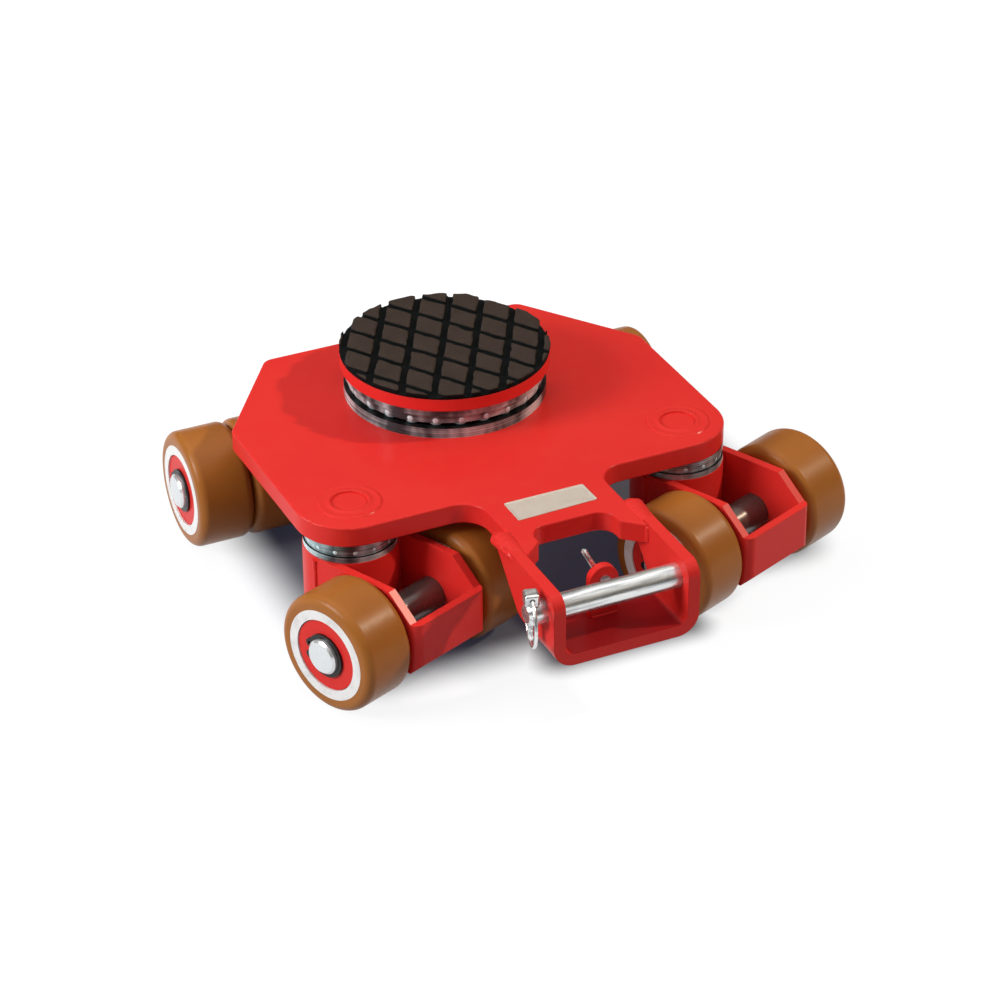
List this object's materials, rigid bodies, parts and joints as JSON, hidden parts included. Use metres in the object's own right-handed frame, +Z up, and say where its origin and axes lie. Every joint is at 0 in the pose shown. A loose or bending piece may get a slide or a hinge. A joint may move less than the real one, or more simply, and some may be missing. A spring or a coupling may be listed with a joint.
{
  "type": "machine skate",
  "caption": "Low red machine skate: steel plate on swivel casters and a fixed rear axle, with a load turntable under a grooved rubber pad and a pinned drawbar coupling in front.",
  "frame": {"origin": "on the floor under the middle of the part's box", "axes": "+Z up, +Y from the coupling towards the rear axle, +X to the right seen from the coupling"},
  "size_m": [0.426, 0.382, 0.1445],
  "materials": {
    "red_paint": "glossy enamel",
    "tyre_amber": "satin polyurethane",
    "core_white": "satin",
    "bearing_steel": "ground",
    "axle_steel": "turned",
    "zinc": "zinc plated",
    "black_steel": "black oxide",
    "bronze": "plain",
    "pad_rubber": "matt"
  },
  "bodies": {
    "chassis": {"main_plate": "red_paint", "coupling_strap": "red_paint", "kingpins": "axle_steel", "kingpin_nuts": "zinc", "swivel_upper_races": "bearing_steel", "turntable_lower_race": "bearing_steel", "turntable_bolt": "axle_steel", "turntable_nut": "zinc", "rear_axle_hangers": "red_paint", "rear_axle": "axle_steel", "rear_bearings": "bearing_steel", "rear_cover_discs": "red_paint", "rear_circlips": "black_steel", "catch_lug": "red_paint"},
    "turntable": {"turntable_upper_race": "bearing_steel", "turntable_disc": "red_paint", "rubber_pad": "pad_rubber"},
    "turntable_cage": {"turntable_cage": "bearing_steel", "turntable_balls": "zinc"},
    "hitch_pin": {"hitch_pin": "zinc", "linch_pin": "zinc"},
    "linch_ring": {"linch_ring": "zinc"},
    "catch_lever": {"catch_lever": "zinc"},
    "left_caster": {"left_fork": "red_paint", "left_swivel_housing": "red_paint", "left_swivel_bush": "bronze", "left_lower_race": "bearing_steel", "left_axle": "axle_steel", "left_bearings": "bearing_steel", "left_cover_discs": "red_paint", "left_circlips": "black_steel"},
    "left_swivel_cage": {"left_swivel_cage": "bearing_steel", "left_swivel_balls": "zinc"},
    "right_caster": {"right_fork": "red_paint", "right_swivel_housing": "red_paint", "right_swivel_bush": "bronze", "right_lower_race": "bearing_steel", "right_axle": "axle_steel", "right_bearings": "bearing_steel", "right_cover_discs": "red_paint", "right_circlips": "black_steel"},
    "right_swivel_cage": {"right_swivel_cage": "bearing_steel", "right_swivel_balls": "zinc"},
    "left_outer_wheel": {"left_outer_tyre": "tyre_amber", "left_outer_core": "core_white"},
    "left_inner_wheel": {"left_inner_tyre": "tyre_amber", "left_inner_core": "core_white"},
    "right_outer_wheel": {"right_outer_tyre": "tyre_amber", "right_outer_core": "core_white"},
    "right_inner_wheel": {"right_inner_tyre": "tyre_amber", "right_inner_core": "core_white"},
    "rear_left_outer_wheel": {"rear_left_outer_tyre": "tyre_amber", "rear_left_outer_core": "core_white"},
    "rear_left_inner_wheel": {"rear_left_inner_tyre": "tyre_amber", "rear_left_inner_core": "core_white"},
    "rear_right_outer_wheel": {"rear_right_outer_tyre": "tyre_amber", "rear_right_outer_core": "core_white"},
    "rear_right_inner_wheel": {"rear_right_inner_tyre": "tyre_amber", "rear_right_inner_core": "core_white"}
  },
  "joints": [
    {"name": "turntable_turn", "type": "hinge", "parent": "chassis", "child": "turntable", "pos_m": [-0.0227, 0.0977, 0.12], "axis": [0, 0, 1], "continuous": true},
    {"name": "turntable_cage_turn", "type": "hinge", "parent": "chassis", "child": "turntable_cage", "pos_m": [-0.0227, 0.0977, 0.12], "axis": [0, 0, 1], "continuous": true},
    {"name": "left_swivel", "type": "hinge", "parent": "chassis", "child": "left_caster", "pos_m": [-0.14645, -0.0173, 0.0855], "axis": [0, 0, 1], "continuous": true},
    {"name": "left_cage_turn", "type": "hinge", "parent": "chassis", "child": "left_swivel_cage", "pos_m": [-0.14645, -0.0173, 0.0855], "axis": [0, 0, 1], "continuous": true},
    {"name": "left_outer_spin", "type": "hinge", "parent": "left_caster", "child": "left_outer_wheel", "pos_m": [-0.1776, -0.08381, 0.0425], "axis": [0.9272, 0.3746, 0], "continuous": true},
    {"name": "left_inner_spin", "type": "hinge", "parent": "left_caster", "child": "left_inner_wheel", "pos_m": [-0.07784, -0.04351, 0.0425], "axis": [0.9272, 0.3746, 0], "continuous": true},
    {"name": "right_swivel", "type": "hinge", "parent": "chassis", "child": "right_caster", "pos_m": [0.10455, -0.0173, 0.0855], "axis": [0, 0, 1], "continuous": true},
    {"name": "right_cage_turn", "type": "hinge", "parent": "chassis", "child": "right_swivel_cage", "pos_m": [0.10455, -0.0173, 0.0855], "axis": [0, 0, 1], "continuous": true},
    {"name": "right_outer_spin", "type": "hinge", "parent": "right_caster", "child": "right_outer_wheel", "pos_m": [0.17316, -0.04351, 0.0425], "axis": [0.9272, 0.3746, 0], "continuous": true},
    {"name": "right_inner_spin", "type": "hinge", "parent": "right_caster", "child": "right_inner_wheel", "pos_m": [0.0734, -0.08381, 0.0425], "axis": [0.9272, 0.3746, 0], "continuous": true},
    {"name": "rear_left_outer_spin", "type": "hinge", "parent": "chassis", "child": "rear_left_outer_wheel", "pos_m": [-0.1882, 0.1481, 0.0425], "axis": [1, 0, 0], "continuous": true},
    {"name": "rear_left_inner_spin", "type": "hinge", "parent": "chassis", "child": "rear_left_inner_wheel", "pos_m": [-0.1464, 0.1481, 0.0425], "axis": [1, 0, 0], "continuous": true},
    {"name": "rear_right_outer_spin", "type": "hinge", "parent": "chassis", "child": "rear_right_outer_wheel", "pos_m": [0.1428, 0.1481, 0.0425], "axis": [1, 0, 0], "continuous": true},
    {"name": "rear_right_inner_spin", "type": "hinge", "parent": "chassis", "child": "rear_right_inner_wheel", "pos_m": [0.101, 0.1481, 0.0425], "axis": [1, 0, 0], "continuous": true},
    {"name": "hitch_pin_draw", "type": "slide", "parent": "chassis", "child": "hitch_pin", "axis": [-1, 0, 0], "range_m": [0, 0.1]},
    {"name": "linch_ring_swing", "type": "hinge", "parent": "hitch_pin", "child": "linch_ring", "pos_m": [-0.0847, -0.1723, 0.104], "axis": [0.2588, 0.9659, 0], "range_deg": [0, 120]},
    {"name": "catch_lever_swing", "type": "hinge", "parent": "chassis", "child": "catch_lever", "pos_m": [-0.0227, -0.1523, 0.09], "axis": [0, 1, 0], "range_deg": [-40, 80]}
  ],
  "couplings": [
    {"joint": "turntable_cage_turn", "follows": "turntable_turn", "ratio": 0.5},
    {"joint": "left_cage_turn", "follows": "left_swivel", "ratio": 0.5},
    {"joint": "right_cage_turn", "follows": "right_swivel", "ratio": 0.5}
  ]
}
